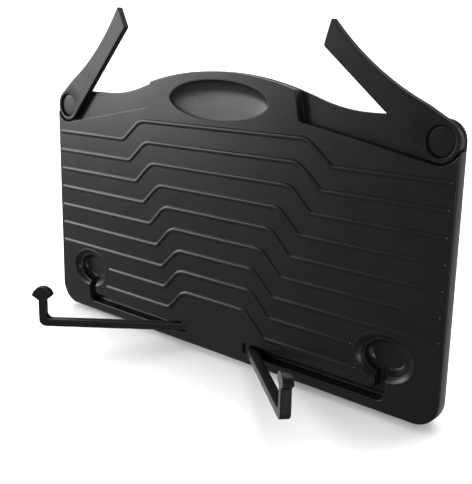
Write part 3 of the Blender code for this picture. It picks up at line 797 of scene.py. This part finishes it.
# ---------------------------------------------------------------- kickstand
axis_height = HINGE[1] * lean_cos - HINGE[0] * lean_sin - GROUND
leg_angle = math.acos(axis_height / LEG_REACH)
opening = LEAN + leg_angle
KICK = PANEL @ Matrix.Translation(Vector((0, HINGE[0], HINGE[1])) * MM) @ Matrix.Rotation(opening, 4, "X")
leg_front = LEG_FRONT - HINGE[0]
leg_back = LEG_BACK - HINGE[0]
leg_half = [(LEG_FOOT_HALF, -LEG_END), (LEG_HALF, -14.0), (LEG_HALF, 5.0)]
LEG_RIM = rounded(leg_half + [(-x, z) for x, z in reversed(leg_half)], [0.6, 0, 0.8, 0.8, 0, 0.6], count=4)
LEG_RIM = subdivided(LEG_RIM, 8.0)
tray = [(LEG_FOOT_HALF - 5, -LEG_END + 14), (LEG_HALF - 6, -18.0)]
LEG_TRAY = rounded(tray + [(-x, z) for x, z in reversed(tray)], [4] * 4, count=8)
TRAY_WALL = ((-0.4, 0.0), (-0.15, 0.06), (0.0, 0.25), (0.25, 2.2), (0.45, 2.5), (0.8, 2.6))


def leg_face(points):
    """The leg's face toward the panel: a shallow tray, and a heel cut to clear the pocket's floor."""
    heel = (POCKET_FLOOR - HINGE[0] + 0.05 + points[:, 1] * math.sin(opening)) / math.cos(opening)
    face = leg_front + step_depth(depth_in(points, LEG_TRAY), TRAY_WALL)
    face += edge_drop(np.abs(depth_in(points, LEG_RIM)), 0.5)
    return np.where(points[:, 1] > -8, np.maximum(face, heel), face)


def leg_rear(points):
    """The leg's outer face."""
    return leg_back - edge_drop(np.abs(depth_in(points, LEG_RIM)), 0.7)


leg_lines = edge_loops(LEG_RIM, 0.6) + [(offset(LEG_TRAY, s), True) for s, _ in TRAY_WALL]
leg_lines.append(([(-LEG_HALF + 0.1, 1.15), (LEG_HALF - 0.1, 1.15)], False))
leg = relief("kickstand_leg_visual", [LEG_RIM], leg_lines, leg_face, leg_rear, KICK)
piece(leg, "kickstand_leg", "cover_plastic", "kickstand")

sole = [(y, -(axis_height + y * math.sin(leg_angle)) / math.cos(leg_angle)) for y in (leg_front, leg_back)]
top = -LEG_END - 0.1
section = rounded([*sole, (leg_back, top), (leg_front, top)], [0.8, 0.8, 0.3, 0.3], count=4)
foot = bar("kickstand_foot_visual", section, stations(LEG_FOOT_HALF), KICK)
piece(foot, "kickstand_foot", "rubber", "kickstand")


# ---------------------------------------------------------------- materials
class Nodes:
    """Short ways to wire a material's nodes."""

    def __init__(self, name):
        self.mat = bpy.data.materials.new(name)
        self.mat.use_nodes = True
        self.nodes = self.mat.node_tree.nodes
        self.links = self.mat.node_tree.links
        self.shader = self.nodes["Principled BSDF"]
        self.coord = self.nodes.new("ShaderNodeTexCoord")

    def link(self, a, b):
        self.links.new(a, b)

    def noise(self, scale, detail=2.0, rough=0.5):
        tex = self.nodes.new("ShaderNodeTexNoise")
        tex.inputs["Scale"].default_value = scale
        tex.inputs["Detail"].default_value = detail
        tex.inputs["Roughness"].default_value = rough
        self.link(self.coord.outputs["Object"], tex.inputs["Vector"])
        return tex.outputs["Fac"]

    def span(self, value, low, high, start=0.3, stop=0.7):
        node = self.nodes.new("ShaderNodeMapRange")
        node.inputs["From Min"].default_value = start
        node.inputs["From Max"].default_value = stop
        node.inputs["To Min"].default_value = low
        node.inputs["To Max"].default_value = high
        self.link(value, node.inputs["Value"])
        return node.outputs["Result"]

    def math(self, operation, a, b):
        node = self.nodes.new("ShaderNodeMath")
        node.operation = operation
        for i, value in enumerate((a, b)):
            if isinstance(value, (int, float)):
                node.inputs[i].default_value = value
            else:
                self.link(value, node.inputs[i])
        return node.outputs[0]

    def mix(self, factor, a, b):
        node = self.nodes.new("ShaderNodeMix")
        node.data_type = "RGBA"
        self.link(factor, node.inputs["Factor"])
        for key, value in (("A", a), ("B", b)):
            if isinstance(value, tuple):
                node.inputs[key].default_value = (*value, 1)
            else:
                self.link(value, node.inputs[key])
        return node.outputs["Result"]

    def bump(self, height, strength, distance, normal=None):
        node = self.nodes.new("ShaderNodeBump")
        node.inputs["Strength"].default_value = strength
        node.inputs["Distance"].default_value = distance
        self.link(height, node.inputs["Height"])
        if normal is not None:
            self.link(normal, node.inputs["Normal"])
        return node.outputs["Normal"]

    def edges(self, start, stop, scale=160.0):
        """Where a convex edge has been rubbed, broken up by noise."""
        point = self.nodes.new("ShaderNodeNewGeometry").outputs["Pointiness"]
        exposed = self.span(point, 0, 1, start, stop)
        return self.math("MULTIPLY", exposed, self.span(self.noise(scale, 4), 0, 1))


def shade(tone, factor):
    return tuple(min(1.0, c * factor) for c in tone)


def moulded(name, tone, rough, grain, grain_scale, spec=0.2, seed=0.0):
    """Black moulded plastic: fine spark-eroded grain, faint flow marks and slightly polished edges."""
    n = Nodes(name)
    n.shader.inputs["Specular IOR Level"].default_value = spec
    n.shader.inputs["IOR"].default_value = 1.5
    body = n.mix(n.span(n.noise(34.0 + seed, 4.0), 0, 1), shade(tone, 0.86), shade(tone, 1.18))
    rub = n.edges(0.52, 0.60)
    worn = n.mix(n.math("MULTIPLY", rub, 0.5), body, shade(tone, 2.4))
    n.link(worn, n.shader.inputs["Base Color"])
    clouds = n.span(n.noise(52.0 + seed, 4.0), rough - 0.03, rough + 0.03)
    speckle = n.span(n.noise(1500.0, 2.0), -0.03, 0.03)
    polish = n.math("MULTIPLY", rub, -0.06)
    n.link(n.math("ADD", n.math("ADD", clouds, speckle), polish), n.shader.inputs["Roughness"])
    fine = n.bump(n.noise(grain_scale, 3.0, 0.6), grain, 0.00004)
    n.link(n.bump(n.noise(26.0 + seed, 2.0), 0.10, 0.0004, fine), n.shader.inputs["Normal"])
    return n.mat


def rubber(name):
    """Matt black rubber, patchy in tone, with dust on its edges."""
    n = Nodes(name)
    n.shader.inputs["Specular IOR Level"].default_value = 0.25
    body = n.mix(n.span(n.noise(90.0, 4.0), 0, 1), (0.012, 0.012, 0.012), (0.024, 0.023, 0.022))
    n.link(body, n.shader.inputs["Base Color"])
    dust = n.math("MULTIPLY", n.edges(0.52, 0.62, 240.0), 0.08)
    n.link(n.math("ADD", n.span(n.noise(300.0, 3.0), 0.72, 0.88), dust), n.shader.inputs["Roughness"])
    n.link(n.bump(n.noise(1800.0, 3.0, 0.65), 0.5, 0.00006), n.shader.inputs["Normal"])
    return n.mat


def metal(name, tone, rough):
    """Finely ground steel, brighter on its worn edges."""
    n = Nodes(name)
    n.shader.inputs["Metallic"].default_value = 1.0
    worn = n.edges(0.52, 0.62, 400.0)
    body = n.mix(n.span(n.noise(420.0, 4.0), 0, 1), shade(tone, 0.88), tone)
    n.link(n.mix(worn, body, shade(tone, 1.25)), n.shader.inputs["Base Color"])
    n.link(n.span(n.noise(700.0, 4.0), rough - 0.06, rough + 0.08), n.shader.inputs["Roughness"])
    n.link(n.bump(n.noise(2400.0, 2.0, 0.6), 0.2, 0.00002), n.shader.inputs["Normal"])
    return n.mat


def paint(obj, mat):
    obj.data.materials.clear()
    obj.data.materials.append(mat)


SHELL_BLACK = (0.0050, 0.0050, 0.0052)
ARM_BLACK = (0.0056, 0.0056, 0.0058)
COVER_BLACK = (0.0090, 0.0090, 0.0092)
LOOKS = {
    "shell_plastic": moulded("shell_plastic_look", SHELL_BLACK, rough=0.31, grain=0.30, grain_scale=2600.0),
    "moulding_plastic": moulded(
        "moulding_look", ARM_BLACK, rough=0.32, grain=0.25, grain_scale=2800.0, spec=0.15, seed=7.0
    ),
    "cover_plastic": moulded(
        "cover_plastic_look", COVER_BLACK, rough=0.46, grain=0.45, grain_scale=1700.0, spec=0.22, seed=3.0
    ),
    "rubber": rubber("rubber_look"),
    "steel": metal("steel_look", (0.56, 0.56, 0.58), rough=0.28),
}
for obj, slot_name in PIECES:
    paint(obj, LOOKS[slot_name])

# The CAD nodes that nothing stands in for are all steel; the arms' pins and washers are blackened.
STOOD_FOR = {node for obj, _ in PIECES for node in obj["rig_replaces"]}
blackened = metal("blackened_steel_look", (0.09, 0.09, 0.095), rough=0.42)
for node_name, node in frame["nodes"].items():
    if node_name not in STOOD_FOR:
        paint(node, blackened if node_name.startswith("arm_") else LOOKS["steel"])


# ---------------------------------------------------------------- stage
FLOOR_HALF = 6.0
FLOOR_TONE = 0.93


def lay_floor():
    """A pale floor that the glossy plastic doesn't mirror."""
    corners = [(x * FLOOR_HALF, y * FLOOR_HALF, 0) for x, y in ((-1, -1), (1, -1), (1, 1), (-1, 1))]
    mesh = bpy.data.meshes.new("floor")
    mesh.from_pydata(corners, [], [(0, 1, 2, 3)])
    floor = bpy.data.objects.new("floor", mesh)
    bpy.context.scene.collection.objects.link(floor)
    mat = bpy.data.materials.new("floor_paper")
    mat.use_nodes = True
    paper = mat.node_tree.nodes["Principled BSDF"]
    paper.inputs["Base Color"].default_value = (FLOOR_TONE, FLOOR_TONE, FLOOR_TONE, 1)
    paper.inputs["Roughness"].default_value = 0.9
    paint(floor, mat)
    floor.visible_glossy = False


lay_floor()


# ---------------------------------------------------------------- light
AMBIENT = 0.22
# Soft fills below the horizon: a direction, the cosines where each begins and is full, and its strength.
FILLS = (
    ((0.44, 0.78, -0.45), 0.78, 0.96, 1.05),
    ((-0.83, 0.29, -0.48), 0.80, 0.97, 0.7),
    ((-0.74, -0.62, -0.26), 0.86, 0.99, 0.4),
    ((0.82, -0.50, -0.27), 0.86, 0.98, 1.4),
)
# The point that every light but the backdrop's faces, in metres.
AIM = (0, 0, 0.08)
BACKDROP_SIDE = 2.6


def studio_world():
    """A dim, even surround with the soft fills added to it."""
    world = bpy.data.worlds.new("studio")
    world.use_nodes = True
    sky = world.node_tree.nodes
    wire = world.node_tree.links.new
    sky["Background"].inputs["Color"].default_value = (1, 1, 1, 1)
    heading = sky.new("ShaderNodeTexCoord")
    level = None
    for direction, begin, full, strength in FILLS:
        toward = sky.new("ShaderNodeVectorMath")
        toward.operation = "DOT_PRODUCT"
        toward.inputs[1].default_value = direction
        wire(heading.outputs["Generated"], toward.inputs[0])
        glow = sky.new("ShaderNodeMapRange")
        glow.interpolation_type = "SMOOTHSTEP"
        glow.inputs["From Min"].default_value = begin
        glow.inputs["From Max"].default_value = full
        glow.inputs["To Max"].default_value = strength
        wire(toward.outputs["Value"], glow.inputs["Value"])
        total = sky.new("ShaderNodeMath")
        total.operation = "ADD"
        total.inputs[1].default_value = AMBIENT
        wire(glow.outputs["Result"], total.inputs[0])
        if level is not None:
            wire(level, total.inputs[1])
        level = total.outputs[0]
    wire(level, sky["Background"].inputs["Strength"])
    bpy.context.scene.world = world


def softbox(name, spot, target, size, radiance):
    """A rectangular light at spot that faces target."""
    light = bpy.data.lights.new(name, "AREA")
    light.shape = "RECTANGLE"
    light.size = size[0]
    light.size_y = size[1]
    light.energy = radiance * math.pi * size[0] * size[1]
    obj = bpy.data.objects.new(name, light)
    obj.location = spot
    obj.rotation_euler = (Vector(target) - Vector(spot)).to_track_quat("-Z", "Y").to_euler()
    bpy.context.scene.collection.objects.link(obj)


def beam(name, azimuth, elevation, distance, size, radiance):
    """A softbox seen from the stand at that azimuth (from the front, to the right) and elevation."""
    az, el = math.radians(azimuth), math.radians(elevation)
    out = distance * math.cos(el)
    spot = (out * math.sin(az), -out * math.cos(az), AIM[2] + distance * math.sin(el))
    softbox(name, spot, AIM, size, radiance)


studio_world()
beam("left", azimuth=-63, elevation=21, distance=1.3, size=(0.9, 0.66), radiance=9.2)
beam("top", azimuth=158, elevation=58, distance=1.7, size=(1.3, 1.1), radiance=5.0)
beam("right_back", azimuth=138, elevation=22, distance=1.3, size=(0.6, 0.7), radiance=4.0)
beam("front_right", azimuth=35, elevation=15, distance=1.3, size=(0.3, 0.34), radiance=20.0)
softbox("backdrop", (-1.5, 1.6, 1.7), (-1.5, 1.6, 0.0), (BACKDROP_SIDE, BACKDROP_SIDE), radiance=6.0)
bpy.context.scene.view_settings.view_transform = "Standard"


# ---------------------------------------------------------------- camera
# Where the camera stands and how it is turned, in the panel's own frame.
EYE = Vector((313.12, -326.77, 176.76)) * MM
RIGHT = Vector((0.73809, 0.67443, 0.01919))
UP = Vector((-0.17079, 0.15924, 0.97235))
FOCAL_MM = 59.1583
data = bpy.data.cameras.new("camera")
data.lens = FOCAL_MM
data.clip_start = 0.01
camera = bpy.data.objects.new("camera", data)
right = RIGHT.normalized()
up = (UP - right * UP.dot(right)).normalized()
turn = Matrix((right, up, right.cross(up))).transposed().to_4x4()
camera.matrix_world = PANEL @ Matrix.Translation(EYE) @ turn
bpy.context.scene.collection.objects.link(camera)
bpy.context.scene.camera = camera
